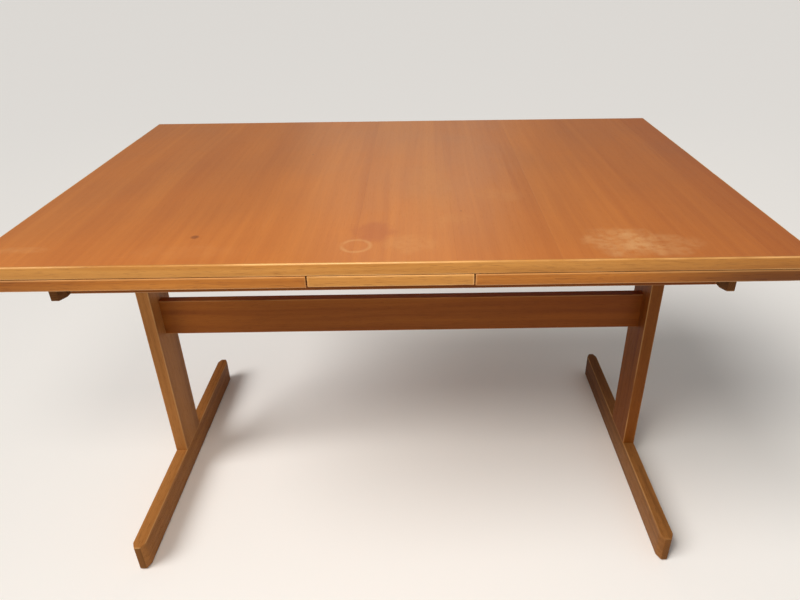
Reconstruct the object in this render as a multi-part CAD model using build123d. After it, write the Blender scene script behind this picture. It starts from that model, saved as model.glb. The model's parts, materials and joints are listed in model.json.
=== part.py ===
from build123d import *
import os

# Extendable draw-leaf dining table on two trestles, closed.
# Millimetres. Origin on the floor under the centre of the table, +X along its length,
# -Y towards the sitter at the front, +Z up.

# Overall size
TABLE_LENGTH = 1200.0
TABLE_WIDTH = 800.0
TABLE_HEIGHT = 720.0

# Boards
TOP_THICK = 20.0
LEAF_THICK = 18.0
CENTRE_THICK = 17.0
CENTRE_LENGTH = 235.0
LIPPING = 3.0
SLIDING_GAP = 0.5
LEAF_END_GAP = 2.0
TOP_ARRIS = 2.0
LEAF_ARRIS = 1.2

# Trestles
TRESTLE_OUTER_X = 542.0
TRESTLE_THICK = 26.0
POST_WIDTH = 95.0
FOOT_LENGTH = 656.0
FOOT_TOP_Z = 64.0
CUT_LENGTH = 14.0
CUT_DEPTH = 7.0
GLIDE_CORNER = 4.0
FOOT_ARRIS = 2.0
BEARER_LENGTH = 642.0
BEARER_BOTTOM_Z = 622.0
TENON_DEPTH = 35.0
TENON_THICK = 10.0
TENON_WIDTH = 65.0
FRAME_ARRIS = 1.5

# Rails
LONG_RAIL_FACE_Y = 297.0
LONG_RAIL_THICK = 20.0
STRETCHER_THICK = 20.0
STRETCHER_BOTTOM_Z = 365.0
STRETCHER_TOP_Z = 446.0
STUB_DEPTH = 6.0
STUB_THICK = 12.0
STUB_MARGIN = 10.0

# Lopers: the sliding bearers that carry the leaves
LOPER_THICK = 24.0
LOPER_HEIGHT = 41.0
LOPER_OUTER_X = 590.0
LOPER_INNER_X = 450.0
LOPER_NOSE = 12.0
LOPER_RELIEF = 1.0
LEFT_LOPER_Y = 240.0
RIGHT_LOPER_Y = 205.0
LEAF_TRAVEL = 482.0
STOP_LENGTH = 30.0
STOP_THICK = 18.0
STOP_HEIGHT = 34.0
STOP_REST_GAP = 0.3

# Guide pegs under the loose top
PEG_RADIUS = 9.0
PEG_HOLE_RADIUS = 9.5
PEG_TENON_RADIUS = 6.0
PEG_TENON_DEPTH = 10.0
PEG_Y = 150.0
PEG_LENGTH = 40.0
DISC_RADIUS = 17.0
DISC_THICK = 4.0

# Fasteners and glides
GLIDE_THICK = 3.0
GLIDE_LENGTH = 60.0
GLIDE_WIDTH = 20.0
GLIDE_Y = 280.0
BOLT_RADIUS = 3.0
BOLT_HEAD_RADIUS = 7.5
BOLT_HEAD_THICK = 2.0
BOLT_SOCKET_RADIUS = 2.3
BOLT_SOCKET_DEPTH = 1.5
BOLT_LENGTH = 72.0
BOLT_EDGE = 20.0
NUT_RADIUS = 5.0
NUT_LENGTH = 16.0
NUT_INSET = 35.0
DOWEL_RADIUS = 4.0
DOWEL_IN_BEARER = 15.0
DOWEL_IN_RAIL = 25.0
DOWEL_EDGE = 15.0
SCREW_RADIUS = 2.0
SCREW_HEAD_RADIUS = 4.0
SCREW_HEAD_DEPTH = 2.5
SCREW_TIP = 4.0
SCREW_SLOT = 0.9
HOLE_EASE = 0.05
LEAF_SCREW_LENGTH = 30.0
LEAF_SCREW_SEAT = 21.5
LEAF_SCREW_X = (560.0, 350.0, 140.0)
COUNTERBORE_RADIUS = 5.0
CENTRE_SCREW_LENGTH = 40.0
CENTRE_SCREW_X = 80.0
STOP_SCREW_LENGTH = 30.0
STOP_SCREW_INSET = 8.0
PEG_SCREW_LENGTH = 25.0

# Heights and places worked out from the sizes above
HALF_LENGTH = TABLE_LENGTH / 2
HALF_WIDTH = TABLE_WIDTH / 2
TOP_BOTTOM_Z = TABLE_HEIGHT - TOP_THICK
BOARD_TOP_Z = TOP_BOTTOM_Z - SLIDING_GAP
LEAF_BOTTOM_Z = BOARD_TOP_Z - LEAF_THICK
CENTRE_BOTTOM_Z = BOARD_TOP_Z - CENTRE_THICK
FRAME_TOP_Z = LEAF_BOTTOM_Z - SLIDING_GAP
HALF_CENTRE = CENTRE_LENGTH / 2
LEAF_INNER_X = HALF_CENTRE + LEAF_END_GAP
TRESTLE_INNER_X = TRESTLE_OUTER_X - TRESTLE_THICK
TRESTLE_MID_X = TRESTLE_OUTER_X - TRESTLE_THICK / 2
LOPER_BOTTOM_Z = LEAF_BOTTOM_Z - LOPER_HEIGHT
NOTCH_FLOOR_Z = LOPER_BOTTOM_Z - SLIDING_GAP
LONG_RAIL_MID_Y = LONG_RAIL_FACE_Y - LONG_RAIL_THICK / 2
PEG_BOTTOM_Z = TOP_BOTTOM_Z - PEG_LENGTH
SIDES = (-1, 1)


def block(x0, x1, y0, y1, z0, z1):
    """A box between two corners, given in any order."""
    middle = Pos((x0 + x1) / 2, (y0 + y1) / 2, (z0 + z1) / 2)
    return middle * Box(abs(x1 - x0), abs(y1 - y0), abs(z1 - z0))


def rounded_bar(bar, along, radius=FRAME_ARRIS):
    """Rounds the long arrises of a bar that runs along one axis."""
    return fillet(bar.edges().filter_by(along), radius)


def rod(radius, length, at, direction):
    """A round rod that starts at a point and runs in a direction."""
    plane = Plane(origin=at, z_dir=direction)
    return plane * Cylinder(radius, length, align=(Align.CENTER, Align.CENTER, Align.MIN))


def screw(length, at, direction, ease=0.0):
    """A countersunk wood screw whose flat head starts at a point; ease makes the hole for it."""
    low = (Align.CENTER, Align.CENTER, Align.MIN)
    shank = SCREW_RADIUS + ease
    head = Cone(SCREW_HEAD_RADIUS + ease, shank, SCREW_HEAD_DEPTH, align=low)
    shank_end = length - SCREW_TIP
    body = Pos(0, 0, SCREW_HEAD_DEPTH) * Cylinder(shank, shank_end - SCREW_HEAD_DEPTH, align=low)
    tip = Pos(0, 0, shank_end) * Cone(shank, 0.3, SCREW_TIP, align=low)
    made = head + body + tip
    if ease == 0.0:
        made -= Box(SCREW_HEAD_RADIUS * 3, SCREW_SLOT, SCREW_SLOT * 2)
    return Plane(origin=at, z_dir=direction) * made


def save(node, *solids):
    """Writes one node, which may be a group of separate solids."""
    shape = solids[0] if len(solids) == 1 else Compound(children=list(solids))
    export_step(shape, f"parts/{node}.step")


def trestle_board(side, length, low, high):
    """A level board of a trestle, with long cut corners at both ends and eased edges."""
    half = length / 2
    corners = []
    for end in SIDES:
        for across in (-end, end):
            face = (across * TRESTLE_THICK / 2, end * (half - CUT_LENGTH))
            tip = (across * (TRESTLE_THICK / 2 - CUT_DEPTH), end * half)
            corners += [face, tip] if across == -end else [tip, face]
    plan = make_face(Polyline(*corners, close=True))
    board = Pos(side * TRESTLE_MID_X, 0, low) * extrude(plan, high - low)
    board = fillet(board.faces().sort_by(Axis.Z)[-1].edges(), FOOT_ARRIS)
    return fillet(board.faces().sort_by(Axis.Z)[0].edges(), FOOT_ARRIS)


def feet():
    """Foot boards with a mortise on top and felt glides below."""
    glides = []
    for side, name in zip(SIDES, ("left", "right")):
        foot = trestle_board(side, FOOT_LENGTH, GLIDE_THICK, FOOT_TOP_Z)
        foot -= tenon(side, FOOT_TOP_Z - TENON_DEPTH, FOOT_TOP_Z)
        save(f"{name}_foot", foot)
        for end in SIDES:
            middle = Pos(side * TRESTLE_MID_X, end * GLIDE_Y, GLIDE_THICK / 2)
            pad = middle * Box(GLIDE_WIDTH, GLIDE_LENGTH, GLIDE_THICK)
            glides.append(fillet(pad.edges().filter_by(Axis.Z), GLIDE_CORNER))
    save("foot_glides", *glides)


def tenon(side, low, high):
    """The tongue at one end of a post, and the mortise for it."""
    middle = side * TRESTLE_MID_X
    half = TENON_THICK / 2
    return block(middle - half, middle + half, -TENON_WIDTH / 2, TENON_WIDTH / 2, low, high)


def stretcher_stub(side):
    """The short tongue that seats the stretcher in a post."""
    inner = side * TRESTLE_INNER_X
    return block(inner, inner + side * STUB_DEPTH, -STUB_THICK / 2, STUB_THICK / 2,
                 STRETCHER_BOTTOM_Z + STUB_MARGIN, STRETCHER_TOP_Z - STUB_MARGIN)


def bolt_heights():
    return (STRETCHER_BOTTOM_Z + BOLT_EDGE, STRETCHER_TOP_Z - BOLT_EDGE)


def posts():
    """Wide upright boards, one to each trestle."""
    for side, name in zip(SIDES, ("left", "right")):
        post = block(side * TRESTLE_INNER_X, side * TRESTLE_OUTER_X, -POST_WIDTH / 2,
                     POST_WIDTH / 2, FOOT_TOP_Z, BEARER_BOTTOM_Z)
        post = rounded_bar(post, Axis.Z)
        post += tenon(side, FOOT_TOP_Z - TENON_DEPTH, FOOT_TOP_Z)
        post += tenon(side, BEARER_BOTTOM_Z, BEARER_BOTTOM_Z + TENON_DEPTH)
        post -= stretcher_stub(side)
        for height in bolt_heights():
            start = (side * TRESTLE_OUTER_X, 0, height)
            post -= rod(BOLT_RADIUS + HOLE_EASE, TRESTLE_THICK, start, (-side, 0, 0))
        save(f"{name}_post", post)


def cross_bearers():
    """Bearers across the top of each trestle, notched for the lopers of their own leaf."""
    notch = LOPER_THICK / 2 + SLIDING_GAP
    for side, name, loper_y in zip(SIDES, ("left", "right"), (LEFT_LOPER_Y, RIGHT_LOPER_Y)):
        inner = side * TRESTLE_INNER_X
        outer = side * TRESTLE_OUTER_X
        bearer = trestle_board(side, BEARER_LENGTH, BEARER_BOTTOM_Z, FRAME_TOP_Z)
        bearer -= tenon(side, BEARER_BOTTOM_Z, BEARER_BOTTOM_Z + TENON_DEPTH)
        for end in SIDES:
            y = end * loper_y
            bearer -= block(inner, outer, y - notch, y + notch, NOTCH_FLOOR_Z, FRAME_TOP_Z)
            for height in dowel_heights():
                start = (inner, end * LONG_RAIL_MID_Y, height)
                bearer -= rod(DOWEL_RADIUS, DOWEL_IN_BEARER, start, (side, 0, 0))
        save(f"{name}_cross_bearer", bearer)


def dowel_heights():
    return (BEARER_BOTTOM_Z + DOWEL_EDGE, FRAME_TOP_Z - DOWEL_EDGE)


def centre_screw_places():
    return [(x * CENTRE_SCREW_X, y * LONG_RAIL_MID_Y, BOARD_TOP_Z) for x in SIDES for y in SIDES]


def long_rails():
    """Rails that join the two cross-bearers, with the dowels at their ends."""
    dowels = []
    for end, name in zip(SIDES, ("front", "back")):
        face = end * LONG_RAIL_FACE_Y
        rail = block(-TRESTLE_INNER_X, TRESTLE_INNER_X, face, face - end * LONG_RAIL_THICK,
                     BEARER_BOTTOM_Z, FRAME_TOP_Z)
        rail = rounded_bar(rail, Axis.X)
        for side in SIDES:
            for height in dowel_heights():
                start = (side * (TRESTLE_INNER_X + DOWEL_IN_BEARER), end * LONG_RAIL_MID_Y, height)
                dowel = rod(DOWEL_RADIUS, DOWEL_IN_BEARER + DOWEL_IN_RAIL, start, (-side, 0, 0))
                rail -= dowel
                dowels.append(dowel)
        for place in centre_screw_places():
            rail -= screw(CENTRE_SCREW_LENGTH, place, (0, 0, -1), HOLE_EASE)
        save(f"{name}_long_rail", rail)
    save("rail_dowels", *dowels)


def stretcher():
    """The rail between the posts, pulled up by two bolts and barrel nuts at each end."""
    half = STRETCHER_THICK / 2
    rail = block(-TRESTLE_INNER_X, TRESTLE_INNER_X, -half, half,
                 STRETCHER_BOTTOM_Z, STRETCHER_TOP_Z)
    rail = rounded_bar(rail, Axis.X)
    bolts = []
    nuts = []
    for side in SIDES:
        rail += stretcher_stub(side)
        for height in bolt_heights():
            face = (side * TRESTLE_OUTER_X, 0, height)
            rail -= rod(BOLT_RADIUS + HOLE_EASE, BOLT_LENGTH, face, (-side, 0, 0))
            seat = (side * (TRESTLE_INNER_X - NUT_INSET), half, height)
            rail -= rod(NUT_RADIUS, NUT_LENGTH, seat, (0, -1, 0))
            nut = rod(NUT_RADIUS, NUT_LENGTH, seat, (0, -1, 0))
            nut -= rod(BOLT_RADIUS + HOLE_EASE, BOLT_LENGTH, face, (-side, 0, 0))
            nuts.append(nut)
            bolts.append(bolt(side, face))
    save("stretcher_rail", rail)
    save("stretcher_bolts", *bolts)
    save("stretcher_barrel_nuts", *nuts)


def bolt(side, face):
    """A flat-headed connector bolt with a hexagon socket, head on the post's outer face."""
    head = rod(BOLT_HEAD_RADIUS, BOLT_HEAD_THICK, face, (side, 0, 0))
    outside = (face[0] + side * BOLT_HEAD_THICK, 0, face[2])
    profile = Plane(origin=outside, z_dir=(-side, 0, 0)) * RegularPolygon(BOLT_SOCKET_RADIUS, 6)
    socket = extrude(profile, BOLT_SOCKET_DEPTH)
    shank = rod(BOLT_RADIUS, BOLT_LENGTH, face, (-side, 0, 0))
    return head + shank - socket


def centre_board():
    """The fixed board between the leaves, on packers, with holes for the guide pegs."""
    core_y = HALF_WIDTH - LIPPING
    slab = block(-HALF_CENTRE, HALF_CENTRE, -HALF_WIDTH, HALF_WIDTH, CENTRE_BOTTOM_Z, BOARD_TOP_Z)
    slab = rounded_bar(slab, Axis.X, LEAF_ARRIS)
    core = slab & block(-HALF_LENGTH, HALF_LENGTH, -core_y, core_y, 0, TABLE_HEIGHT)
    packers = []
    for end, name in zip(SIDES, ("front", "back")):
        lipping = slab & block(-HALF_LENGTH, HALF_LENGTH, end * core_y, end * HALF_WIDTH,
                               0, TABLE_HEIGHT)
        save(f"centre_board_{name}_edge", lipping)
        core -= rod(PEG_HOLE_RADIUS, TABLE_HEIGHT, (0, end * PEG_Y, 0), (0, 0, 1))
        face = end * LONG_RAIL_FACE_Y
        packers.append(block(-HALF_CENTRE + LIPPING, HALF_CENTRE - LIPPING, face,
                             face - end * LONG_RAIL_THICK, FRAME_TOP_Z, CENTRE_BOTTOM_Z))
    screws = []
    for place in centre_screw_places():
        hole = screw(CENTRE_SCREW_LENGTH, place, (0, 0, -1), HOLE_EASE)
        core -= hole
        packers = [packer - hole for packer in packers]
        screws.append(screw(CENTRE_SCREW_LENGTH, place, (0, 0, -1)))
    save("centre_board", core)
    save("centre_board_packers", *packers)
    save("centre_board_screws", *screws)


def stop_block(side, loper_y, outward):
    """The block on a loper that meets the cross-bearer when its leaf is fully drawn."""
    start = side * (TRESTLE_INNER_X - LEAF_TRAVEL - STOP_REST_GAP)
    face = loper_y + outward * LOPER_THICK / 2
    return block(start, start - side * STOP_LENGTH, face, face + outward * STOP_THICK,
                 LOPER_BOTTOM_Z, LOPER_BOTTOM_Z + STOP_HEIGHT)


def stop_screw_places(side, loper_y, outward):
    start = TRESTLE_INNER_X - LEAF_TRAVEL - STOP_REST_GAP
    face = loper_y + outward * (LOPER_THICK / 2 + STOP_THICK)
    height = LOPER_BOTTOM_Z + STOP_HEIGHT / 2
    insets = (STOP_SCREW_INSET, STOP_LENGTH - STOP_SCREW_INSET)
    return [(side * (start - inset), face, height) for inset in insets]


def loper(side, loper_y):
    """A sliding bearer: full height under its own leaf, eased past the other, with a slanted nose."""
    half = LOPER_THICK / 2
    inner = -side * LOPER_INNER_X
    bar = block(side * LOPER_OUTER_X, inner, loper_y - half, loper_y + half,
                LOPER_BOTTOM_Z, LEAF_BOTTOM_Z)
    bar = rounded_bar(bar, Axis.X, LEAF_ARRIS)
    bar -= block(side * LEAF_INNER_X, inner, loper_y - half, loper_y + half,
                 LEAF_BOTTOM_Z - LOPER_RELIEF, LEAF_BOTTOM_Z)
    corner = (inner, LOPER_BOTTOM_Z)
    along = (inner + side * LOPER_NOSE, LOPER_BOTTOM_Z)
    above = (inner, LOPER_BOTTOM_Z + LOPER_NOSE)
    wedge = extrude(Plane.XZ * make_face(Polyline(corner, along, above, close=True)),
                    TABLE_WIDTH, both=True)
    return bar - wedge


def leaf(side, name, loper_offset, stop_direction):
    """A draw leaf: veneered board, four lippings, two lopers and their stops and screws."""
    outer = side * HALF_LENGTH
    inner = side * LEAF_INNER_X
    core_outer = outer - side * LIPPING
    core_inner = inner + side * LIPPING
    core_y = HALF_WIDTH - LIPPING
    slab = block(outer, inner, -HALF_WIDTH, HALF_WIDTH, LEAF_BOTTOM_Z, BOARD_TOP_Z)
    slab = fillet(slab.edges(), LEAF_ARRIS)
    core = slab & block(core_outer, core_inner, -core_y, core_y, 0, TABLE_HEIGHT)
    save(f"{name}_leaf_front_edge", slab & block(outer, inner, -core_y, -HALF_WIDTH, 0, TABLE_HEIGHT))
    save(f"{name}_leaf_back_edge", slab & block(outer, inner, core_y, HALF_WIDTH, 0, TABLE_HEIGHT))
    save(f"{name}_leaf_outer_edge", slab & block(outer, core_outer, -core_y, core_y, 0, TABLE_HEIGHT))
    save(f"{name}_leaf_inner_edge", slab & block(inner, core_inner, -core_y, core_y, 0, TABLE_HEIGHT))
    screws = []
    stops = []
    for end, where in zip(SIDES, ("front", "back")):
        loper_y = end * loper_offset
        outward = end * stop_direction
        bar = loper(side, loper_y)
        for x in LEAF_SCREW_X:
            seat = (side * x, loper_y, LOPER_BOTTOM_Z + LEAF_SCREW_SEAT)
            hole = screw(LEAF_SCREW_LENGTH, seat, (0, 0, 1), HOLE_EASE)
            bar -= rod(COUNTERBORE_RADIUS, LEAF_SCREW_SEAT, (side * x, loper_y, LOPER_BOTTOM_Z),
                       (0, 0, 1))
            bar -= hole
            core -= hole
            screws.append(screw(LEAF_SCREW_LENGTH, seat, (0, 0, 1)))
        stop = stop_block(side, loper_y, outward)
        for place in stop_screw_places(side, loper_y, outward):
            hole = screw(STOP_SCREW_LENGTH, place, (0, -outward, 0), HOLE_EASE)
            stop -= hole
            bar -= hole
            screws.append(screw(STOP_SCREW_LENGTH, place, (0, -outward, 0)))
        stops.append(stop)
        save(f"{name}_leaf_{where}_loper", bar)
    save(f"{name}_leaf_panel", core)
    save(f"{name}_leaf_stop_blocks", *stops)
    save(f"{name}_leaf_screws", *screws)


def mitred_quarter(corner_a, corner_b, inner_b, inner_a):
    """The part of the top's outline that belongs to one mitred lipping."""
    outline = make_face(Polyline(corner_a, corner_b, inner_b, inner_a, close=True))
    return extrude(outline, TABLE_HEIGHT)


def loose_top():
    """The loose top: veneered board in a mitred frame of lippings, on two guide pegs."""
    core_x = HALF_LENGTH - LIPPING
    core_y = HALF_WIDTH - LIPPING
    slab = block(-HALF_LENGTH, HALF_LENGTH, -HALF_WIDTH, HALF_WIDTH, TOP_BOTTOM_Z, TABLE_HEIGHT)
    slab = fillet(slab.edges(), TOP_ARRIS)
    panel = slab & block(-core_x, core_x, -core_y, core_y, 0, TABLE_HEIGHT)
    for end, name in zip(SIDES, ("front", "back")):
        quarter = mitred_quarter((-HALF_LENGTH, end * HALF_WIDTH), (HALF_LENGTH, end * HALF_WIDTH),
                                 (core_x, end * core_y), (-core_x, end * core_y))
        save(f"table_top_{name}_edge", slab & quarter)
    for side, name in zip(SIDES, ("left", "right")):
        quarter = mitred_quarter((side * HALF_LENGTH, -HALF_WIDTH), (side * HALF_LENGTH, HALF_WIDTH),
                                 (side * core_x, core_y), (side * core_x, -core_y))
        save(f"table_top_{name}_edge", slab & quarter)
    pegs = []
    discs = []
    screws = []
    for end in SIDES:
        peg, disc, fixing = guide_peg(end * PEG_Y)
        panel -= rod(PEG_TENON_RADIUS + HOLE_EASE, PEG_TENON_DEPTH, (0, end * PEG_Y, TOP_BOTTOM_Z),
                     (0, 0, 1))
        pegs.append(peg)
        discs.append(disc)
        screws.append(fixing)
    save("table_top_panel", panel)
    save("guide_pegs", *pegs)
    save("peg_stop_discs", *discs)
    save("peg_screws", *screws)


def guide_peg(y):
    """A peg with its tenon in the top, its stop disc below and the screw that holds the disc."""
    up = (0, 0, 1)
    low = (0, y, PEG_BOTTOM_Z - DISC_THICK)
    hole = screw(PEG_SCREW_LENGTH, low, up, HOLE_EASE)
    peg = rod(PEG_RADIUS, PEG_LENGTH, (0, y, PEG_BOTTOM_Z), up)
    peg += rod(PEG_TENON_RADIUS, PEG_TENON_DEPTH, (0, y, TOP_BOTTOM_Z), up)
    disc = rod(DISC_RADIUS, DISC_THICK, low, up)
    return peg - hole, disc - hole, screw(PEG_SCREW_LENGTH, low, up)


os.makedirs("parts", exist_ok=True)
feet()
posts()
cross_bearers()
long_rails()
stretcher()
centre_board()
leaf(-1, "left", LEFT_LOPER_Y, 1)
leaf(1, "right", RIGHT_LOPER_Y, -1)
loose_top()
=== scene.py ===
import json
import math

import bmesh
import bpy
from mathutils import Matrix, Vector, noise


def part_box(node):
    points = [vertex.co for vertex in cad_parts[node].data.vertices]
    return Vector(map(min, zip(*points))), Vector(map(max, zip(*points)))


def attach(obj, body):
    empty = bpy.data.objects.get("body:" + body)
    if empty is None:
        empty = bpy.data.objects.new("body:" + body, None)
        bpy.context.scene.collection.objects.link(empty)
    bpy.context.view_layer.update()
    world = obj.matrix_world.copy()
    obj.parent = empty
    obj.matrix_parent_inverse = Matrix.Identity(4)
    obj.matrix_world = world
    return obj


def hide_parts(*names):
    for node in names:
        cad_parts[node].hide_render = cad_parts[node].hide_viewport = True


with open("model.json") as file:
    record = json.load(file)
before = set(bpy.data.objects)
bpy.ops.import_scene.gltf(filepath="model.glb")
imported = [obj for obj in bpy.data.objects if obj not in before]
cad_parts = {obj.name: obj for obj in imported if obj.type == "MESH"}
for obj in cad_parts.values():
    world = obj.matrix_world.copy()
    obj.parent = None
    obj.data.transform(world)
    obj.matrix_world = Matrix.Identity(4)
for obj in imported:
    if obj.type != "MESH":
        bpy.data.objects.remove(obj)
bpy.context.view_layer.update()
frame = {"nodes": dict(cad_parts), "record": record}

bl_info = {
    "name": "Draw-leaf table",
    "version": (1, 0, 0),
    "blender": (4, 5, 0),
    "location": "3D View > Sidebar > Draw-leaf table",
    "description": "Worn teak finish and detailed pieces for a draw-leaf dining table",
    "category": "Object",
}

RECORD = frame["record"]
SLOTS = {part["node"]: part["material_slot"] for part in RECORD["subparts"]}
BODIES = {node: body for body, nodes in RECORD["behaviour"]["bodies"].items() for node in nodes}
AXES = {"X": Vector((1, 0, 0)), "Y": Vector((0, 1, 0)), "Z": Vector((0, 0, 1))}
ARC_STEPS = 5
STATION_SPACING = 0.012
SHARP_FROM = math.radians(35)
RIM_FROM = math.radians(60)
WELD_DISTANCE = 0.00001
FLOOR_REACH = 40.0

# Painted shade: where along a piece, in metres, its colour starts and ends to darken, and the tone
# it reaches, for light falling off along the lippings, feet and rails; on the leaf edges partly
# darker wood as well.
TOP_LIPPING_PAINTED_SHADE = (0.15, 0.65, 0.76)
LEAF_EDGE_DARKER_WOOD_AND_SHADE = {"left": (-0.36, -0.58, 0.68), "right": (0.26, 0.52, 0.38)}
FOOT_PAINTED_SHADE = (-0.10, 0.30, 0.66)
RAIL_PAINTED_SHADE = (-0.05, 0.55, 0.80)
# Painted shade: how far the top's veneer darkens towards +X, for light falling off to the right.
TOP_PAINTED_SHADE = 0.8
# Painted shade: the right trestle is darkened, and its post takes the darker rail colours, for
# light falling off to the right.
RIGHT_TRESTLE_PAINTED_SHADE = 0.70
# Painted shade: the cross-bearers under the top are darkened.
BEARER_PAINTED_SHADE = 0.5
TRESTLE_SHINE = 0.10
RAIL_SHINE = 0.12

# Studio light: places and sizes in metres, power in watts.
WORLD_COLOUR = (1.0, 0.97, 0.92, 1.0)
WORLD_STRENGTH = 0.30
SUN_PLACE = (-1.9, -1.2, 2.4)
SUN_SPREAD = 34.0
SUN_STRENGTH = 2.15
SUN_COLOUR = (1.0, 0.96, 0.90)
# Each lamp: name, place, target, size, power, colour.
LAMPS = (
    ("key", (-0.16, -1.08, 1.55), (-0.05, -0.1, 0.6), (0.35, 0.25), 9.5, (1.0, 0.93, 0.81)),
    ("window", (-0.02, 2.6, 1.9), (0.0, 0.1, 0.72), (1.2, 1.0), 3.6, (1.0, 0.84, 0.62)),
)


def linear(red, green, blue):
    """A screen colour, 0 to 255, as the linear colour that a shader takes."""
    def channel(value):
        share = value / 255
        return share / 12.92 if share <= 0.04045 else ((share + 0.055) / 1.055) ** 2.4
    return tuple(channel(value) for value in (red, green, blue))


def colour_property(name, description, screen):
    return bpy.props.FloatVectorProperty(
        name=name, description=description, default=linear(*screen),
        size=3, min=0.0, max=1.0, subtype="COLOR")


def length_property(name, description, default):
    return bpy.props.FloatProperty(
        name=name, description=description, default=default, min=0.0,
        precision=4, unit="LENGTH", subtype="DISTANCE")


class TableColours(bpy.types.PropertyGroup):
    """Colours of the table's woods, metal and felt."""
    top_light: colour_property("Top, light", "Light bands of the top's veneer", (194, 119, 50))
    top_dark: colour_property("Top, dark", "Dark bands of the top's veneer", (174, 99, 38))
    board_light: colour_property("Boards, light", "Light bands on leaves, centre", (176, 108, 48))
    board_dark: colour_property("Boards, dark", "Dark bands on leaves, centre", (146, 82, 32))
    lipping_light: colour_property("Lipping, light", "Light wood of the top's edge", (189, 133, 66))
    lipping_dark: colour_property("Lipping, dark", "Dark wood of the top's edge", (172, 114, 50))
    leaf_edge_light: colour_property("Leaf edge, light", "Light wood of leaf edges", (188, 122, 50))
    leaf_edge_dark: colour_property("Leaf edge, dark", "Dark wood of leaf edges", (160, 96, 34))
    frame_light: colour_property("Trestle, light", "Light streaks of the trestles", (168, 112, 58))
    frame_dark: colour_property("Trestle, dark", "Dark streaks of the trestles", (136, 86, 40))
    rail_light: colour_property("Rail, light", "Light streaks of the rails", (160, 93, 30))
    rail_dark: colour_property("Rail, dark", "Dark streaks of the rails", (131, 68, 21))
    runner_light: colour_property("Runner, light", "Light streaks of the lopers", (206, 164, 112))
    runner_dark: colour_property("Runner, dark", "Dark streaks of the lopers", (178, 132, 84))
    pore: colour_property("Pores", "Dark lines of open grain", (96, 48, 24))
    # Also the painted highlight along the timber's worn arrises.
    worn_wood_and_highlight: colour_property("Worn wood", "Wood where the finish has worn off", (236, 186, 124))
    # Painted shade: filter over the top's veneer towards +X, where light falls off.
    veneer_painted_shade: colour_property("Deepened", "Filter over the darker veneer", (232, 216, 186))
    # Painted shade: tint of the darkening along the lippings, feet and rails where light falls off;
    # on the leaf edges partly darker wood.
    turned: colour_property("Turned", "Filter over wood that has darkened", (255, 238, 214))
    scuff: colour_property("Scuffs", "Pale bloom in the finish of the top", (216, 178, 128))
    reddened: colour_property("Reddened", "Veneer that a spill has darkened", (150, 66, 34))
    metal: colour_property("Metal", "Dulled zinc of the screws and bolts", (168, 166, 160))
    felt: colour_property("Felt", "Pressed felt of the glides", (92, 74, 60))
    floor: colour_property("Floor", "Pale studio floor", (246, 246, 247))


class TableSizes(bpy.types.PropertyGroup):
    """Sizes of the wear and the figure in the wood."""
    top_arris: length_property("Top arris", "Radius of the top's worn arrises", 0.0022)
    leaf_arris: length_property("Leaf arris", "Radius of the leaves' arrises", 0.0013)
    frame_arris: length_property("Frame arris", "Radius of the trestles' arrises", 0.0020)
    cut_length: length_property("Cut length", "Length of the corners cut off the feet", 0.0140)
    cut_depth: length_property("Cut depth", "Depth of the corners cut off the feet", 0.0070)
    glide_edge: length_property("Glide edge", "Rounding of the felt glides", 0.0008)
    veneer_leaf: length_property("Veneer leaf", "Width of one leaf of veneer", 0.148)
    edge_wear: length_property("Edge wear", "How far wear reaches in from an arris", 0.0030)


class TableView(bpy.types.PropertyGroup):
    """Where the camera stands and how it looks."""
    place: bpy.props.FloatVectorProperty(
        name="Place", description="Camera position over the floor",
        default=(0.0433, -1.1951, 1.1067), size=3, subtype="TRANSLATION", unit="LENGTH")
    lens: bpy.props.FloatProperty(
        name="Lens", description="Focal length in millimetres", default=28.68, min=1.0)
    down: bpy.props.FloatProperty(
        name="Down", description="Tilt below level", default=math.radians(29.35), unit="ROTATION")
    turn: bpy.props.FloatProperty(
        name="Turn", description="Turn towards +X", default=math.radians(0.445), unit="ROTATION")
    roll: bpy.props.FloatProperty(
        name="Roll", description="Roll about the view", default=math.radians(-0.618),
        unit="ROTATION")
    shift: bpy.props.FloatProperty(
        name="Shift", description="Sideways lens shift, as a share of the width", default=-0.0327)


# ---- Shader maths ----

class Paint:
    """One output of a shader node, so that shader maths reads as a plain expression."""

    def __init__(self, finish, socket):
        self.finish = finish
        self.socket = socket

    def maths(self, operation, *others):
        sockets = dict(enumerate((self, *others)))
        return self.finish.node("ShaderNodeMath", {"operation": operation}, sockets)

    def __add__(self, other):
        return self.maths("ADD", other)

    def __sub__(self, other):
        return self.maths("SUBTRACT", other)

    def __mul__(self, other):
        return self.maths("MULTIPLY", other)

    def __truediv__(self, other):
        return self.maths("DIVIDE", other)

    def __rsub__(self, other):
        return self.finish.node("ShaderNodeMath", {"operation": "SUBTRACT"}, {0: other, 1: self})

    __radd__ = __add__
    __rmul__ = __mul__

    def __abs__(self):
        return self.maths("ABSOLUTE")

    def least(self, other):
        return self.maths("MINIMUM", other)

    def most(self, other):
        return self.maths("MAXIMUM", other)

    def rise(self, low, high):
        """0 below low, 1 above high and smooth between; the other way when low is the higher."""
        if low > high:
            return 1 - self.rise(high, low)
        limits = {"Value": self, "From Min": low, "From Max": high}
        return self.finish.node("ShaderNodeMapRange", {"interpolation_type": "SMOOTHSTEP"}, limits)


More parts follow.
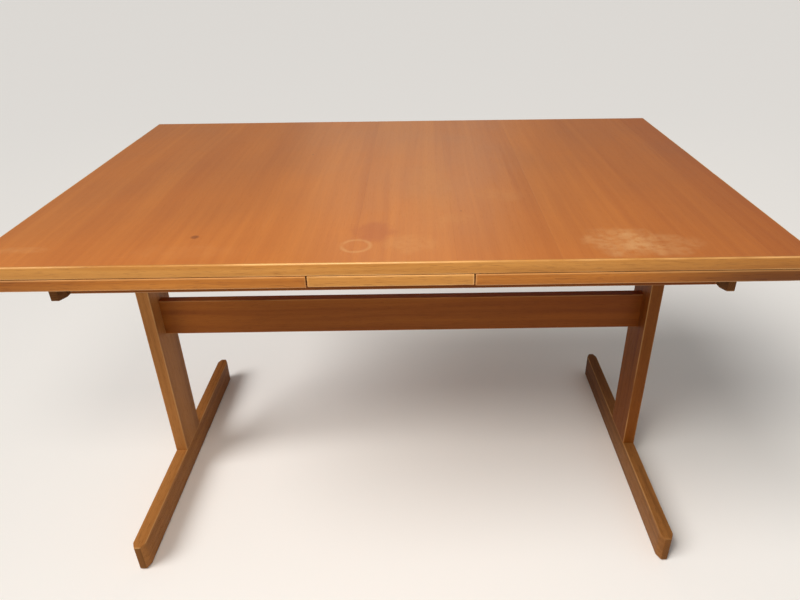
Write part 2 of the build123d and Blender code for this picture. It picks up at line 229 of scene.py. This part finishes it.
class Finish:
    """A material that is being made, with its Principled shader ready to be fed."""

    def __init__(self, name):
        self.material = bpy.data.materials.new(name)
        self.material.use_nodes = True
        self.tree = self.material.node_tree
        self.shader = self.tree.nodes["Principled BSDF"]
        self.point = self.node("ShaderNodeTexCoord", output="Object")
        self.facing = self.node("ShaderNodeTexCoord", output="Normal")

    def node(self, kind, settings=None, sockets=None, output=0):
        """Adds a node: its settings first, then its sockets' values or links."""
        made = self.tree.nodes.new(kind)
        for name, value in (settings or {}).items():
            setattr(made, name, value)
        for name, value in (sockets or {}).items():
            self.feed(made.inputs[name], value)
        return Paint(self, made.outputs[output])

    def feed(self, socket, value):
        if isinstance(value, Paint):
            self.tree.links.new(value.socket, socket)
        else:
            socket.default_value = value

    def vector(self, operation, *values, output=0):
        settings = {"operation": operation}
        return self.node("ShaderNodeVectorMath", settings, dict(enumerate(values)), output)

    def mix(self, factor, first, second, blend="MIX"):
        """Mixes two colours."""
        settings = {"data_type": "RGBA", "blend_type": blend}
        return self.node("ShaderNodeMix", settings, {0: factor, 6: tint(first), 7: tint(second)}, 2)

    def parts(self, vector):
        return [self.node("ShaderNodeSeparateXYZ", sockets={0: vector}, output=i) for i in range(3)]

    def noise(self, vector, detail=2.0, roughness=0.5, twist=0.0, output=0):
        sockets = {"Vector": vector, "Scale": 1.0, "Detail": detail, "Roughness": roughness,
                   "Distortion": twist}
        return self.node("ShaderNodeTexNoise", {}, sockets, output)

    def bump(self, height, distance, strength=1.0):
        sockets = {"Height": height, "Distance": distance, "Strength": strength}
        return self.node("ShaderNodeBump", {}, sockets, "Normal")

    def finish(self, colour, roughness, normal, **constants):
        self.feed(self.shader.inputs["Base Color"], colour)
        self.feed(self.shader.inputs["Roughness"], roughness)
        self.feed(self.shader.inputs["Normal"], normal)
        for name, value in constants.items():
            self.shader.inputs[name.replace("_", " ")].default_value = value
        return self.material


def tint(colour):
    """A plain colour with its alpha, or a link as it is."""
    return colour if isinstance(colour, Paint) else (*colour, 1.0)


def streaks(finish, point, along, across_scale, along_scale, detail=3.0, twist=0.0):
    """Noise drawn out along the grain; the scales are features to the metre."""
    scale = Vector((across_scale,) * 3)
    scale["XYZ".index(along)] = along_scale
    return finish.noise(finish.vector("MULTIPLY", point, scale), detail, twist=twist)


def arris_distance(finish, low, high):
    """How far a point of a box-shaped piece is from the nearest arris."""
    x, y, z = [
        (part - low[i]).least(high[i] - part) for i, part in enumerate(finish.parts(finish.point))]
    return x.least(y).most(x.most(y).least(z))


class Grain:
    """The figure of one piece of wood, as masks from 0 to 1."""

    def __init__(self, finish, along, seed, fineness=1.0):
        offset = Vector((0.37 * seed, 0.53 * seed + 1.1, 0.71 * seed + 2.3))
        placed = finish.vector("ADD", finish.point, offset)
        sway = finish.noise(finish.vector("MULTIPLY", placed, (2.3, 2.3, 2.3)), 2.0, output="Color")
        sway = finish.vector("MULTIPLY", finish.vector("SUBTRACT", sway, (0.5, 0.5, 0.5)),
                             (0.022, 0.022, 0.022))
        swayed = finish.vector("ADD", placed, sway)
        self.placed = placed
        self.bands = streaks(finish, swayed, along, 17.0 * fineness, 0.9, 2.0)
        self.rings = streaks(finish, swayed, along, 95.0 * fineness, 1.6, 4.0, 0.3)
        self.fibres = streaks(finish, swayed, along, 800.0, 9.0, 2.0)
        self.pores = streaks(finish, swayed, along, 1500.0, 42.0, 1.0).rise(0.42, 0.30)
        self.blotches = finish.noise(finish.vector("MULTIPLY", placed, (5.0, 5.0, 5.0)), 3.0)


def end_grain(finish, along, seed):
    """Mask of the faces cut across the grain, and the growth rings seen on them."""
    facing = abs(finish.vector("DOT_PRODUCT", finish.facing, AXES[along], output="Value"))
    pith = Vector((0.09 + 0.01 * seed, 0.07, 0.05 - 0.02 * seed))
    flat = Vector((1, 1, 1)) - AXES[along]
    spoke = finish.vector("MULTIPLY", finish.vector("ADD", finish.point, pith), flat)
    radius = finish.vector("LENGTH", spoke, output="Value")
    wobble = finish.noise(finish.vector("MULTIPLY", finish.point, (40.0, 40.0, 40.0)), 2.0)
    rings = (radius * 1700 + wobble * 5).maths("SINE").rise(-0.2, 0.9)
    return facing.rise(0.55, 0.85), rings


def timber(name, along, light, dark, seed, box, gloss=0.42, pores=0.55, contrast=1.0, tone=1.0,
           worn=0.38, turned=None, shine=0.24):
    """Solid timber with bands, rings, fibres, open pores, end grain and worn, paler arrises that
    also paint in the highlight along them.

    Turned is where along the piece the colour starts and ends to darken, and the tone it reaches:
    painted shade for light falling off along the piece, on the leaf edges partly darker wood as
    well.
    """
    colours = bpy.context.scene.table_colours
    sizes = bpy.context.scene.table_sizes
    finish = Finish(name)
    grain = Grain(finish, along, seed)
    figure = 0.5 + contrast * ((grain.bands - 0.5) * 1.3 + (grain.rings - 0.5) * 1.5)
    colour = finish.mix(figure.rise(0.1, 0.9), tuple(dark), tuple(light))
    colour = finish.mix(grain.pores * pores, colour, tuple(colours.pore))
    # A tone below 1 darkens the whole piece: painted shade on the right trestle and the bearers.
    shade = tone * (0.90 + 0.14 * grain.fibres + 0.10 * (grain.blotches - 0.5))
    colour = finish.mix(1.0, colour, shade, "MULTIPLY")
    # Painted shade: the colour darkens along the piece between two places, for light falling off;
    # on the leaf edges partly darker wood.
    if turned:
        start, stop, reached = turned
        place = finish.parts(finish.point)["XYZ".index(along)] + 0.16 * (grain.bands - 0.5)
        painted_shade = tuple(reached * part for part in colours.turned)
        colour = finish.mix(place.rise(start, stop), colour, painted_shade, "MULTIPLY")
    ends, rings = end_grain(finish, along, seed)
    deep = tuple(0.42 * part for part in dark)
    butt = finish.mix(rings * 0.6, tuple(0.72 * part for part in dark), deep)
    colour = finish.mix(ends * 0.85, colour, butt)
    # Worn arrises go paler: wear, and a painted highlight along the arris.
    worn_arris_and_highlight = arris_distance(finish, *box).rise(sizes.edge_wear, 0.0)
    worn_arris_and_highlight = worn_arris_and_highlight * grain.blotches.rise(0.30, 0.56)
    colour = finish.mix(worn_arris_and_highlight * worn, colour, tuple(colours.worn_wood_and_highlight))
    roughness = gloss + 0.16 * (grain.fibres - 0.5) + 0.22 * grain.pores + 0.12 * ends
    roughness = roughness + 0.10 * (grain.blotches - 0.5) - 0.08 * worn_arris_and_highlight
    height = grain.fibres * 0.35 + grain.rings * 0.45 - grain.pores
    normal = finish.bump(height, 0.00014, 0.55)
    return finish.finish(colour, roughness, normal, Specular_IOR_Level=shine)


def veneer_leaves(finish, width, seed):
    """Tone of each leaf of veneer, laid side by side along X, and the fine joint between them."""
    x = finish.parts(finish.point)[0]
    bow = finish.noise(finish.vector("MULTIPLY", finish.point, (1.0, 3.0, 1.0)))
    bowed = x + 0.0010 * (bow - 0.5)
    place = bowed / width + 0.37 * seed
    number = place.maths("FLOOR")
    tone = finish.node("ShaderNodeTexWhiteNoise", {"noise_dimensions": "1D"}, {"W": number})
    joint = abs(place - number - 0.5).rise(0.4965, 0.4990)
    return tone, joint


def veneer(name, light, dark, seed, gloss, marks=None, painted_shade=0.0):
    """Veneer with its grain across the table, in leaves of slightly different tone.

    Its last argument is how far the last leaves towards +X go to the deeper tone, from 0 to 1:
    painted shade where light falls off to the right.
    """
    colours = bpy.context.scene.table_colours
    sizes = bpy.context.scene.table_sizes
    finish = Finish(name)
    grain = Grain(finish, "Y", seed, 0.9)
    tone, joint = veneer_leaves(finish, sizes.veneer_leaf, seed)
    figure = 0.5 + (grain.bands - 0.5) * 0.5 + (grain.rings - 0.5) * 0.6 + (tone - 0.5) * 0.20
    colour = finish.mix(figure.rise(0.1, 0.9), tuple(dark), tuple(light))
    colour = finish.mix(grain.pores * 0.08 + joint * 0.10, colour, tuple(colours.pore))
    shade = 0.93 + 0.10 * grain.fibres + 0.26 * (grain.blotches - 0.5)
    colour = finish.mix(1.0, colour, shade, "MULTIPLY")
    # Painted shade: the veneer darkens towards +X.
    veneer_painted_shade = painted_shade * finish.parts(finish.point)[0].rise(0.05, 0.60)
    colour = finish.mix(veneer_painted_shade, colour, tuple(colours.veneer_painted_shade), "MULTIPLY")
    roughness = gloss + 0.08 * (grain.fibres - 0.5) + 0.05 * grain.pores
    roughness = roughness + 0.16 * (grain.blotches - 0.5)
    height = grain.fibres * 0.30 - grain.pores * 0.4 - joint * 1.2
    if marks:
        colour, roughness, height = marks(finish, grain, colour, roughness, height)
    normal = finish.bump(height, 0.00010, 0.5)
    return finish.finish(colour, roughness, normal, Specular_IOR_Level=0.34)


# Marks of use on the top: centre and half-sizes in metres.
CUP_RING = (-0.052, -0.343)
CUP_RING_RADIUS = 0.021
CUP_RING_WIDTH = 0.0055
SCUFFED_PATCHES = (
    ((0.338, -0.340), (0.066, 0.060), 1.0),
    ((0.388, -0.352), (0.068, 0.046), 0.7),
    ((0.350, -0.316), (0.022, 0.010), 0.7),
    ((0.030, -0.335), (0.055, 0.040), 0.55),
    ((0.100, -0.240), (0.034, 0.030), 0.30),
    ((0.173, -0.130), (0.060, 0.045), 0.35),
    ((0.060, -0.110), (0.050, 0.200), 0.30),
    ((-0.300, -0.355), (0.110, 0.030), 0.14),
    ((-0.540, -0.343), (0.060, 0.014), 0.45),
)
REDDENED_PATCH = ((-0.030, -0.292), (0.040, 0.050))
DARK_SPOTS = (((-0.299, -0.303), 0.0085), ((-0.180, 0.120), 0.003), ((0.110, -0.210), 0.0025))


def use_marks(finish, grain, colour, roughness, height):
    """A cup ring, scuffed pale patches, a reddened patch, dark spots and fine scratches."""
    colours = bpy.context.scene.table_colours
    worn_wood_and_highlight, scuff, pore = tuple(colours.worn_wood_and_highlight), tuple(colours.scuff), tuple(colours.pore)
    mottle = finish.noise(finish.vector("MULTIPLY", grain.placed, (32.0, 26.0, 1.0)), 4.0, 0.6)
    flecks = finish.noise(finish.vector("MULTIPLY", grain.placed, (75.0, 110.0, 1.0)), 3.0, 0.6)

    def patch(centre, reach):
        away = finish.vector("SUBTRACT", finish.point, (*centre, 0.0))
        away = finish.vector("MULTIPLY", away, (1 / reach[0], 1 / reach[1], 0.0))
        away = finish.vector("LENGTH", away, output="Value") + 1.3 * (mottle - 0.5)
        return away.rise(1.05, 0.45)

    def distance(centre):
        away = finish.vector("SUBTRACT", finish.point, (*centre, 0.0))
        away = finish.vector("MULTIPLY", away, (1, 1, 0))
        return finish.vector("LENGTH", away, output="Value")

    for centre, reach, strength in SCUFFED_PATCHES:
        scuffed = patch(centre, reach) * flecks.rise(0.20, 0.66) * strength
        colour = finish.mix(scuffed * 0.27, colour, scuff)
        roughness = roughness + scuffed * 0.16
    colour = finish.mix(patch(*REDDENED_PATCH) * 0.35, colour, tuple(colours.reddened))
    ring = abs(distance(CUP_RING) - CUP_RING_RADIUS)
    ring = ring.rise(CUP_RING_WIDTH, 0.0) * mottle.rise(0.34, 0.56)
    colour = finish.mix(ring * 0.28, colour, scuff)
    for centre, reach in DARK_SPOTS:
        spot = distance(centre).rise(reach, reach * 0.4)
        colour = finish.mix(spot * 0.55, colour, pore)
    scratch = finish.noise(finish.vector("MULTIPLY", grain.placed, (26.0, 1900.0, 1.0)), 1.0)
    scratch = scratch.rise(0.715, 0.76) * grain.blotches.rise(0.5, 0.7)
    roughness = roughness + scratch * 0.15 + ring * 0.15
    return finish.mix(scratch * 0.22, colour, worn_wood_and_highlight), roughness, height - scratch * 0.8


def dulled_zinc(name, seed):
    """Zinc plate gone dull, with turning marks and darker stains."""
    finish = Finish(name)
    metal = tuple(bpy.context.scene.table_colours.metal)
    placed = finish.vector("ADD", finish.point, (0.3 * seed, 0.0, 0.0))
    stain = finish.noise(finish.vector("MULTIPLY", placed, (300.0, 300.0, 300.0)), 3.0)
    turned = finish.noise(finish.vector("MULTIPLY", placed, (2600.0, 2600.0, 400.0)), 1.0)
    colour = finish.mix(stain.rise(0.4, 0.7) * 0.55, metal, tuple(0.45 * part for part in metal))
    roughness = 0.34 + 0.22 * stain + 0.10 * turned
    return finish.finish(colour, roughness, finish.bump(turned, 0.00004, 0.5), Metallic=1.0)


def pressed_felt(name):
    """Brown felt: short tangled hairs with lighter flecks."""
    finish = Finish(name)
    felt = tuple(bpy.context.scene.table_colours.felt)
    hairs = finish.vector("MULTIPLY", finish.point, (900.0, 900.0, 900.0))
    hairs = finish.noise(hairs, 4.0, twist=2.0)
    clumps = finish.noise(finish.vector("MULTIPLY", finish.point, (130.0, 130.0, 130.0)), 2.0)
    colour = finish.mix(hairs.rise(0.45, 0.7), tuple(0.6 * part for part in felt), felt)
    colour = finish.mix(1.0, colour, 0.8 + 0.4 * clumps, "MULTIPLY")
    return finish.finish(colour, 0.92 - 0.06 * clumps, finish.bump(hairs + clumps, 0.0004, 0.8),
                         Sheen_Weight=0.25)


# ---- Mesh work ----

def dress(node, material):
    """Gives a CAD node its finish."""
    piece = frame["nodes"][node]
    piece.data.materials.clear()
    piece.data.materials.append(material)


def joint_box(*nodes):
    """The box round several nodes together."""
    lows, highs = zip(*(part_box(node) for node in nodes))
    return [Vector([pick(corner[i] for corner in corners) for i in range(3)])
            for pick, corners in ((min, lows), (max, highs))]


def outline(low_u, high_u, half_v, radii):
    """A rectangle's points, in turn round it: one for a sharp corner, an arc for a rounded one."""
    points = []
    for corner, radius in enumerate(radii):
        side_v = 1 if corner in (0, 1) else -1
        end_u, inward = (high_u, -1) if corner in (0, 3) else (low_u, 1)
        if not radius:
            points.append((end_u, side_v * half_v))
            continue
        for step in range(ARC_STEPS):
            angle = (corner + step / (ARC_STEPS - 1)) * math.pi / 2
            points.append((end_u + inward * radius + radius * math.cos(angle),
                           side_v * (half_v - radius) + radius * math.sin(angle)))
    return points


def worn_radius(arris, place, corner, seed, nicks):
    """Radius of an arris at a place along a bar: slow wear, small knocks and named nicks."""
    slow = noise.noise(Vector((place * 7.0, corner * 3.7, seed * 1.9)))
    knock = max(0.0, noise.noise(Vector((place * 55.0, corner * 5.1 + 9.0, seed * 2.3))) - 0.42)
    radius = arris * (1.0 + 0.28 * slow + 1.9 * knock)
    for centre, width, depth, nicked in nicks:
        if nicked == corner:
            radius += depth * math.exp(-((place - centre) / width) ** 2)
    return radius


def stations(low, high, arris, cut, nicks):
    """Places along a bar: closer at the rounded ends, at cut corners and at nicks."""
    count = max(2, round((high - low) / STATION_SPACING))
    places = {low + (high - low) * i / count for i in range(count + 1)}
    for step in range(1, 4):
        inset = arris * (1 - math.cos(math.pi / 2 * step / 3))
        places |= {low + inset, high - inset}
    if cut:
        places |= {low + cut, high - cut}
    for centre, width, _, _ in nicks:
        places |= {centre + width * share / 2 for share in range(-4, 5)}
    return sorted(places)


class Bar:
    """A worn bar along one axis, in the box of a CAD node.

    A lipping has an outer side, -1 or 1 across the table, and only that side is worn. Its ends
    are rounded, plain where they butt against another piece, or mitred at 45 degrees.
    """

    def __init__(self, node, along, arris, seed, outer=0, ends="rounded", cut=(0.0, 0.0), nicks=()):
        self.low, self.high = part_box(node)
        self.axis = "XYZ".index(along)
        self.across = [i for i in range(3) if i != self.axis]
        self.arris = arris
        self.seed = seed
        self.outer = outer
        self.ends = ends
        self.cut_length, self.cut_depth = cut
        self.nicks = nicks
        self.middle = (self.low + self.high) / 2
        self.half = (self.high - self.low) / 2

    def drawn_in(self, end):
        """How far the outline is drawn in at a distance from the end."""
        if self.ends == "plain" or end >= self.arris:
            return 0.0
        if self.ends == "mitred":
            angle = math.acos(end / (self.arris * math.sqrt(2))) - math.pi / 4
            return self.arris * (1 - math.cos(angle))
        return self.arris - math.sqrt(self.arris ** 2 - (self.arris - end) ** 2)

    def corner_radius(self, place, corner, drawn):
        side = 1 if corner in (0, 3) else -1
        if self.outer and side != self.outer:
            return 0.0
        radius = worn_radius(self.arris, place, corner, self.seed, self.nicks)
        room = 1.9 * min(self.half[i] for i in self.across) if self.outer else radius
        return min(radius, room) - (0.0 if self.ends == "mitred" else drawn / 2)

    def section(self, place):
        end = min(place - self.low[self.axis], self.high[self.axis] - place)
        drawn = self.drawn_in(end)
        half_u, half_v = (self.half[i] for i in self.across)
        inset = drawn
        if end < self.cut_length:
            inset += self.cut_depth * (1 - end / self.cut_length)
        low_u = -half_u + (inset if self.outer <= 0 else 0.0)
        high_u = half_u - (inset if self.outer >= 0 else 0.0)
        if self.ends == "rounded":
            half_v -= drawn
        radii = [self.corner_radius(place, corner, drawn) for corner in range(4)]
        return outline(low_u, high_u, half_v, radii)

    def spot(self, place, u, v):
        """A point of the bar; a mitred end leans back with the distance from its outer face."""
        point = self.middle.copy()
        point[self.across[0]] += u
        point[self.across[1]] += v
        if self.ends == "mitred":
            depth = self.half[self.across[0]] - self.outer * u
            share = (place - self.middle[self.axis]) / self.half[self.axis]
            place = self.middle[self.axis] + share * (self.half[self.axis] - depth)
        point[self.axis] = place
        return point

    def mesh(self, name):
        low, high = self.low[self.axis], self.high[self.axis]
        places = stations(low, high, self.arris, self.cut_length, self.nicks)
        shape = bmesh.new()
        rings = [[shape.verts.new(self.spot(place, u, v)) for u, v in self.section(place)]
                 for place in places]
        count = len(rings[0])
        for first, second in zip(rings, rings[1:]):
            for i in range(count):
                j = (i + 1) % count
                shape.faces.new((first[i], first[j], second[j], second[i]))
        shape.faces.new(rings[0][::-1])
        shape.faces.new(rings[-1])
        bmesh.ops.recalc_face_normals(shape, faces=shape.faces)
        for face in shape.faces:
            face.smooth = True
        for edge in shape.edges:
            edge.smooth = edge.calc_face_angle(0.0) < SHARP_FROM
        mesh = bpy.data.meshes.new(name)
        shape.to_mesh(mesh)
        shape.free()
        return mesh


def stand_in(node, mesh, material):
    """Puts a made mesh in the place of a CAD node, on the same body."""
    piece = bpy.data.objects.new(f"{node}_worn", mesh)
    bpy.context.scene.collection.objects.link(piece)
    mesh.materials.append(material)
    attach(piece, BODIES[node])
    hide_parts(node)


def worn_bar(node, along, material, arris, seed, **how):
    """Puts a worn bar in the place of a CAD node."""
    stand_in(node, Bar(node, along, arris, seed, **how).mesh(f"{node}_worn"), material)


def felt_pads(node, edge):
    """Four felt pads with pressed, rounded rims, as one mesh."""
    source = frame["nodes"][node].data
    shape = bmesh.new()
    shape.from_mesh(source)
    bmesh.ops.remove_doubles(shape, verts=shape.verts, dist=WELD_DISTANCE)
    rims = [e for e in shape.edges
            if len(e.link_faces) == 2 and e.calc_face_angle() > RIM_FROM]
    bmesh.ops.bevel(shape, geom=rims, offset=edge, segments=3, profile=0.5, affect="EDGES")
    for face in shape.faces:
        face.smooth = True
    mesh = bpy.data.meshes.new(f"{node}_pressed")
    shape.to_mesh(mesh)
    shape.free()
    return mesh


# ---- Operators ----

class MakeStage(bpy.types.Operator):
    """Makes the pale floor, the soft studio light and the camera"""
    bl_idname = "draw_leaf_table.stage"
    bl_label = "Stage"

    def execute(self, context):
        self.floor(context)
        self.world(context)
        self.sun(context)
        for lamp in LAMPS:
            self.light(context, *lamp)
        self.camera(context)
        return {"FINISHED"}

    def floor(self, context):
        mesh = bpy.data.meshes.new("studio_floor")
        far = FLOOR_REACH
        corners = [(-far, -far, 0), (far, -far, 0), (far, far, 0), (-far, far, 0)]
        mesh.from_pydata(corners, [], [(0, 1, 2, 3)])
        floor = bpy.data.objects.new("studio_floor", mesh)
        context.scene.collection.objects.link(floor)
        finish = Finish("studio_paper")
        cloud = finish.noise(finish.point, 2.0)
        pale = tuple(context.scene.table_colours.floor)
        colour = finish.mix(cloud * 0.08, pale, tuple(0.9 * part for part in pale))
        mesh.materials.append(finish.finish(colour, 0.85 + 0.05 * cloud,
                                            finish.bump(cloud, 0.0001, 0.1)))

    def world(self, context):
        world = bpy.data.worlds.new("studio")
        world.use_nodes = True
        background = world.node_tree.nodes["Background"]
        background.inputs["Color"].default_value = WORLD_COLOUR
        background.inputs["Strength"].default_value = WORLD_STRENGTH
        context.scene.world = world
        context.scene.view_settings.view_transform = "Standard"

    def sun(self, context):
        data = bpy.data.lights.new("daylight", "SUN")
        data.angle = math.radians(SUN_SPREAD)
        data.energy = SUN_STRENGTH
        data.color = SUN_COLOUR
        lamp = bpy.data.objects.new("daylight", data)
        lamp.rotation_euler = (-Vector(SUN_PLACE)).to_track_quat("-Z", "Y").to_euler()
        context.scene.collection.objects.link(lamp)

    def light(self, context, name, place, target, size, power, colour):
        data = bpy.data.lights.new(name, "AREA")
        data.shape = "RECTANGLE"
        data.size, data.size_y = size
        data.energy = power
        data.color = colour
        lamp = bpy.data.objects.new(name, data)
        lamp.location = place
        aim = Vector(target) - Vector(place)
        lamp.rotation_euler = aim.to_track_quat("-Z", "Y").to_euler()
        context.scene.collection.objects.link(lamp)

    def camera(self, context):
        view = context.scene.table_view
        data = bpy.data.cameras.new("camera")
        data.lens = view.lens
        data.shift_x = view.shift
        data.clip_start = 0.01
        data.clip_end = 100.0
        camera = bpy.data.objects.new("camera", data)
        turn = Matrix.Rotation(-view.turn, 4, "Z")
        down = Matrix.Rotation(math.pi / 2 - view.down, 4, "X")
        roll = Matrix.Rotation(view.roll, 4, "Z")
        camera.matrix_world = Matrix.Translation(view.place) @ turn @ down @ roll
        context.scene.collection.objects.link(camera)
        context.scene.camera = camera


class MakeLooseTop(bpy.types.Operator):
    """Finishes the loose top: its veneer and its mitred lippings"""
    bl_idname = "draw_leaf_table.loose_top"
    bl_label = "Loose top"

    def execute(self, context):
        colours = context.scene.table_colours
        sizes = context.scene.table_sizes
        dress("table_top_panel", veneer("top_veneer", colours.top_light, colours.top_dark, 1, 0.36,
                                        use_marks, TOP_PAINTED_SHADE))
        corner_nick = (-0.417, 0.0022, 0.0016, 1)
        edges = (("front", "X", -1, (corner_nick,)), ("back", "X", 1, ()),
                 ("left", "Y", -1, ()), ("right", "Y", 1, ()))
        box = joint_box("table_top_front_edge", "table_top_back_edge")
        for seed, (where, along, outer, nicks) in enumerate(edges, 11):
            node = f"table_top_{where}_edge"
            # The lippings darken towards +X, and the side lippings towards the back: painted shade.
            # Their pale worn arrises also paint in the arris highlight.
            wood = timber(f"{where}_lipping", along, colours.lipping_light, colours.lipping_dark,
                          seed, box, 0.34, 0.35, 0.8, worn=0.85, turned=TOP_LIPPING_PAINTED_SHADE)
            worn_bar(node, along, wood, sizes.top_arris, seed, outer=outer, ends="mitred",
                     nicks=nicks)
        return {"FINISHED"}


class MakeLeaves(bpy.types.Operator):
    """Finishes the two draw leaves: their veneer and their lippings"""
    bl_idname = "draw_leaf_table.leaves"
    bl_label = "Draw leaves"

    def execute(self, context):
        colours = context.scene.table_colours
        sizes = context.scene.table_sizes
        for number, side in enumerate(("left", "right")):
            panel = f"{side}_leaf_panel"
            dress(panel, veneer(f"{side}_leaf_veneer", colours.board_light, colours.board_dark,
                                20 + number, 0.44))
            outwards = 1 if side == "right" else -1
            edges = (("front", "X", -1, "rounded"), ("back", "X", 1, "rounded"),
                     ("outer", "Y", outwards, "plain"), ("inner", "Y", -outwards, "plain"))
            box = joint_box(f"{side}_leaf_front_edge", f"{side}_leaf_back_edge")
            for seed, (where, along, outer, ends) in enumerate(edges, 22 + 4 * number):
                node = f"{side}_leaf_{where}_edge"
                # The front and back edges darken towards the leaf's outer end: darker wood and
                # painted shade. Their pale worn arrises paint in a faint highlight.
                turned = LEAF_EDGE_DARKER_WOOD_AND_SHADE[side] if along == "X" else None
                wood = timber(node, along, colours.leaf_edge_light, colours.leaf_edge_dark, seed,
                              box, 0.42, 0.45, worn=0.3, turned=turned)
                worn_bar(node, along, wood, sizes.leaf_arris, seed, outer=outer, ends=ends)
        return {"FINISHED"}


class MakeCentreBoard(bpy.types.Operator):
    """Finishes the fixed centre board and its two edges"""
    bl_idname = "draw_leaf_table.centre_board"
    bl_label = "Centre board"

    def execute(self, context):
        colours = context.scene.table_colours
        sizes = context.scene.table_sizes
        dress("centre_board",
              veneer("centre_veneer", colours.board_light, colours.board_dark, 31, 0.46))
        box = joint_box("centre_board_front_edge", "centre_board_back_edge")
        for seed, (where, outer) in enumerate((("front", -1), ("back", 1)), 32):
            node = f"centre_board_{where}_edge"
            wood = timber(node, "X", colours.lipping_light, colours.lipping_dark, seed, box, 0.40,
                          0.4, 0.8)
            worn_bar(node, "X", wood, sizes.leaf_arris, seed, outer=outer, ends="plain")
        return {"FINISHED"}


class MakeTrestles(bpy.types.Operator):
    """Finishes the feet, posts and cross-bearers"""
    bl_idname = "draw_leaf_table.trestles"
    bl_label = "Trestles"

    def execute(self, context):
        colours = context.scene.table_colours
        sizes = context.scene.table_sizes
        light, dark = colours.frame_light, colours.frame_dark
        # Painted shade: the right trestle is darkened and its post is given the darker rail
        # colours, for light falling off to the right.
        rail_woods = (colours.rail_light, colours.rail_dark)
        sides = (("left", 1.0, (light, dark)), ("right", RIGHT_TRESTLE_PAINTED_SHADE, rail_woods))
        for number, (side, tone, post_woods) in enumerate(sides):
            foot, post, bearer = f"{side}_foot", f"{side}_post", f"{side}_cross_bearer"
            # The feet darken towards the back: painted shade under the top.
            wood = timber(foot, "Y", light, dark, 41 + number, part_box(foot), 0.50, tone=tone,
                          turned=FOOT_PAINTED_SHADE, shine=TRESTLE_SHINE)
            worn_bar(foot, "Y", wood, sizes.frame_arris, 41 + number,
                     cut=(sizes.cut_length, sizes.cut_depth))
            dress(post, timber(post, "Z", *post_woods, 43 + number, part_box(post), 0.50, 0.4, 0.7,
                               tone=tone, shine=TRESTLE_SHINE))
            # Painted shade: the bearers under the top are darkened.
            dress(bearer, timber(bearer, "Y", light, dark, 45 + number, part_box(bearer), 0.50,
                                 tone=BEARER_PAINTED_SHADE * tone, shine=TRESTLE_SHINE))
        return {"FINISHED"}


class MakeRails(bpy.types.Operator):
    """Finishes the stretcher and the long rails"""
    bl_idname = "draw_leaf_table.rails"
    bl_label = "Rails"

    def execute(self, context):
        colours = context.scene.table_colours
        for seed, node in enumerate(("stretcher_rail", "front_long_rail", "back_long_rail"), 51):
            # The rails darken towards +X: painted shade.
            wood = timber(node, "X", colours.rail_light, colours.rail_dark, seed,
                          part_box(node), 0.48, 0.35, 0.5, turned=RAIL_PAINTED_SHADE, shine=RAIL_SHINE)
            dress(node, wood)
        return {"FINISHED"}


class MakeRunners(bpy.types.Operator):
    """Finishes the lopers, stop blocks, packers, dowels and guide pegs"""
    bl_idname = "draw_leaf_table.runners"
    bl_label = "Runners"

    def execute(self, context):
        colours = context.scene.table_colours
        nodes = [node for node in frame["nodes"] if SLOTS[node] == "runner_beech"]
        for seed, node in enumerate(sorted(nodes), 61):
            along = "Z" if node == "guide_pegs" else "X"
            dress(node, timber(node, along, colours.runner_light, colours.runner_dark, seed,
                               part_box(node), 0.5, 0.25, 0.8))
        return {"FINISHED"}


class MakeFasteners(bpy.types.Operator):
    """Finishes the screws, bolts and barrel nuts"""
    bl_idname = "draw_leaf_table.fasteners"
    bl_label = "Fasteners"

    def execute(self, context):
        nodes = [node for node in frame["nodes"] if SLOTS[node] == "steel"]
        for seed, node in enumerate(sorted(nodes)):
            dress(node, dulled_zinc(f"{node}_zinc", seed))
        return {"FINISHED"}


class MakeGlides(bpy.types.Operator):
    """Makes the felt glides under the feet"""
    bl_idname = "draw_leaf_table.glides"
    bl_label = "Glides"

    def execute(self, context):
        mesh = felt_pads("foot_glides", context.scene.table_sizes.glide_edge)
        stand_in("foot_glides", mesh, pressed_felt("glide_felt"))
        return {"FINISHED"}


OPERATORS = (MakeStage, MakeLooseTop, MakeLeaves, MakeCentreBoard, MakeTrestles, MakeRails,
             MakeRunners, MakeFasteners, MakeGlides)


class TablePanel(bpy.types.Panel):
    """Lists the table's operators and settings"""
    bl_idname = "VIEW3D_PT_draw_leaf_table"
    bl_label = "Draw-leaf table"
    bl_space_type = "VIEW_3D"
    bl_region_type = "UI"
    bl_category = "Draw-leaf table"

    def draw(self, context):
        for operator in OPERATORS:
            self.layout.operator(operator.bl_idname)
        for group in (context.scene.table_sizes, context.scene.table_colours):
            column = self.layout.column()
            for name in group.__annotations__:
                column.prop(group, name)


GROUPS = {"table_colours": TableColours, "table_sizes": TableSizes, "table_view": TableView}


def register():
    for made in (*GROUPS.values(), *OPERATORS, TablePanel):
        bpy.utils.register_class(made)
    for name, group in GROUPS.items():
        setattr(bpy.types.Scene, name, bpy.props.PointerProperty(type=group))


def unregister():
    for name in GROUPS:
        delattr(bpy.types.Scene, name)
    for made in reversed((*GROUPS.values(), *OPERATORS, TablePanel)):
        bpy.utils.unregister_class(made)


def main():
    register()
    for operator in OPERATORS:
        module, name = operator.bl_idname.split(".")
        getattr(getattr(bpy.ops, module), name)()


if __name__ == "__main__":
    main()
